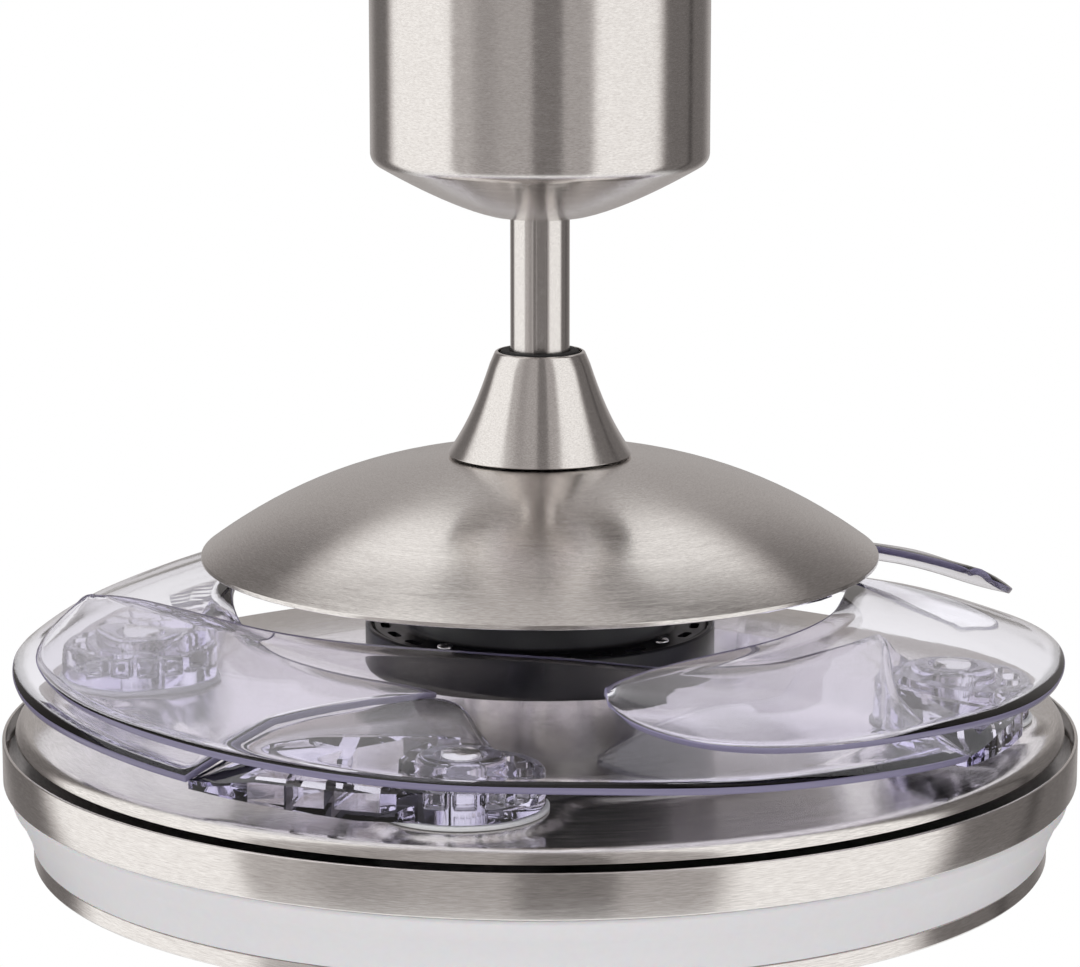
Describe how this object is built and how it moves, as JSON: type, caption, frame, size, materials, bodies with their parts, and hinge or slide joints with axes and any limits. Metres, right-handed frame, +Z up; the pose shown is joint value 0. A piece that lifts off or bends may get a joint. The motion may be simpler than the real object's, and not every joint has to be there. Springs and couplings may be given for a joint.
{
  "type": "retractable blade ceiling fan",
  "caption": "Ceiling fan whose clear blades fold over a round brushed carrier and swing out to spin, with a light kit below, hung on a short downrod.",
  "frame": {"origin": "centre of the ceiling bracket's top face, in the plane of the ceiling", "axes": "+Z up, out of the bracket's top face into the ceiling; +X to the right and -Y towards the viewer of the picture; the bracket's long side lies along X"},
  "size_m": [0.54, 0.54, 0.4782],
  "materials": {
    "brushed_nickel": "fine horizontal brushing, satin",
    "plain_steel": "plain zinc-plated",
    "magnet_iron": "plain",
    "chrome": "bright",
    "black_metal": "black, semi-gloss",
    "black_rubber": "matt",
    "copper_wire": "enamelled wire",
    "clear_blade": "clear, faint violet tint, polished",
    "opal_plastic": "opal, satin",
    "white_plastic": "moulded, satin",
    "aluminium": "plain"
  },
  "bodies": {
    "ceiling": {"hanger_bracket": "plain_steel", "canopy": "brushed_nickel", "canopy_screw_left": "chrome", "canopy_screw_right": "chrome", "remote_receiver": "white_plastic"},
    "hanger_ball": {"hanger_ball": "black_metal"},
    "downrod": {"downrod": "brushed_nickel", "hanger_pin": "plain_steel", "motor_yoke": "black_metal", "yoke_pin": "plain_steel", "yoke_set_screw_left": "plain_steel", "yoke_set_screw_right": "plain_steel", "dome_cover": "brushed_nickel", "dome_nut": "plain_steel", "motor_shaft": "plain_steel", "stator_core": "plain_steel", "stator_winding": "copper_wire", "light_plate": "plain_steel", "shaft_nut": "plain_steel", "led_driver": "white_plastic", "led_board": "aluminium", "trim_ring": "brushed_nickel", "side_diffuser": "opal_plastic", "lower_ring": "brushed_nickel", "bottom_diffuser": "opal_plastic"},
    "yoke_cover": {"yoke_cover": "brushed_nickel", "cover_gasket": "black_rubber"},
    "rotor": {"rotor_case": "black_metal", "upper_bearing": "plain_steel", "magnet_ring": "magnet_iron", "motor_drum": "black_metal", "lower_bearing": "plain_steel", "case_screw_1": "chrome", "case_screw_2": "chrome", "case_screw_3": "chrome", "case_screw_4": "chrome", "blade_neck": "brushed_nickel", "blade_carrier": "brushed_nickel", "ring_keeper": "plain_steel", "pivot_bush_1": "white_plastic", "pivot_bush_2": "white_plastic", "pivot_bush_3": "white_plastic", "pivot_bush_4": "white_plastic", "return_spring_1": "plain_steel", "return_spring_2": "plain_steel", "return_spring_3": "plain_steel", "return_spring_4": "plain_steel"},
    "sync_ring": {"sync_ring": "white_plastic"},
    "blade_1": {"blade_1": "clear_blade", "pivot_spindle_1": "plain_steel", "pivot_pinion_1": "white_plastic"},
    "blade_2": {"blade_2": "clear_blade", "pivot_spindle_2": "plain_steel", "pivot_pinion_2": "white_plastic"},
    "blade_3": {"blade_3": "clear_blade", "pivot_spindle_3": "plain_steel", "pivot_pinion_3": "white_plastic"},
    "blade_4": {"blade_4": "clear_blade", "pivot_spindle_4": "plain_steel", "pivot_pinion_4": "white_plastic"}
  },
  "joints": [
    {"name": "ball_swing", "type": "hinge", "parent": "ceiling", "child": "hanger_ball", "pos_m": [0, 0, -0.04], "axis": [1, 0, 0], "range_deg": [-2, 2]},
    {"name": "rod_swing", "type": "hinge", "parent": "hanger_ball", "child": "downrod", "pos_m": [0, 0, -0.04], "axis": [0, 1, 0], "range_deg": [-2, 2]},
    {"name": "cover_slide", "type": "slide", "parent": "downrod", "child": "yoke_cover", "axis": [0, 0, 1], "range_m": [0, 0.05]},
    {"name": "rotor_spin", "type": "hinge", "parent": "downrod", "child": "rotor", "pos_m": [0, 0, -0.39], "axis": [0, 0, 1], "continuous": true},
    {"name": "blade_1_pivot", "type": "hinge", "parent": "rotor", "child": "blade_1", "pos_m": [-0.03594, -0.20386, -0.39], "axis": [0, 0, 1], "range_deg": [0, 130], "stiffness_Nm_per_rad": 0.12, "springref_deg": -22.92},
    {"name": "blade_2_pivot", "type": "hinge", "parent": "rotor", "child": "blade_2", "pos_m": [0.20386, -0.03594, -0.39], "axis": [0, 0, 1], "range_deg": [0, 130], "stiffness_Nm_per_rad": 0.12, "springref_deg": -22.92},
    {"name": "blade_3_pivot", "type": "hinge", "parent": "rotor", "child": "blade_3", "pos_m": [0.03594, 0.20386, -0.39], "axis": [0, 0, 1], "range_deg": [0, 130], "stiffness_Nm_per_rad": 0.12, "springref_deg": -22.92},
    {"name": "blade_4_pivot", "type": "hinge", "parent": "rotor", "child": "blade_4", "pos_m": [-0.20386, 0.03594, -0.39], "axis": [0, 0, 1], "range_deg": [0, 130], "stiffness_Nm_per_rad": 0.12, "springref_deg": -22.92},
    {"name": "sync_turn", "type": "hinge", "parent": "rotor", "child": "sync_ring", "pos_m": [0, 0, -0.402], "axis": [0, 0, 1], "range_deg": [-26, 0]}
  ],
  "couplings": [
    {"joint": "blade_2_pivot", "follows": "blade_1_pivot", "ratio": 1},
    {"joint": "blade_3_pivot", "follows": "blade_1_pivot", "ratio": 1},
    {"joint": "blade_4_pivot", "follows": "blade_1_pivot", "ratio": 1},
    {"joint": "sync_turn", "follows": "blade_1_pivot", "ratio": -0.2}
  ]
}
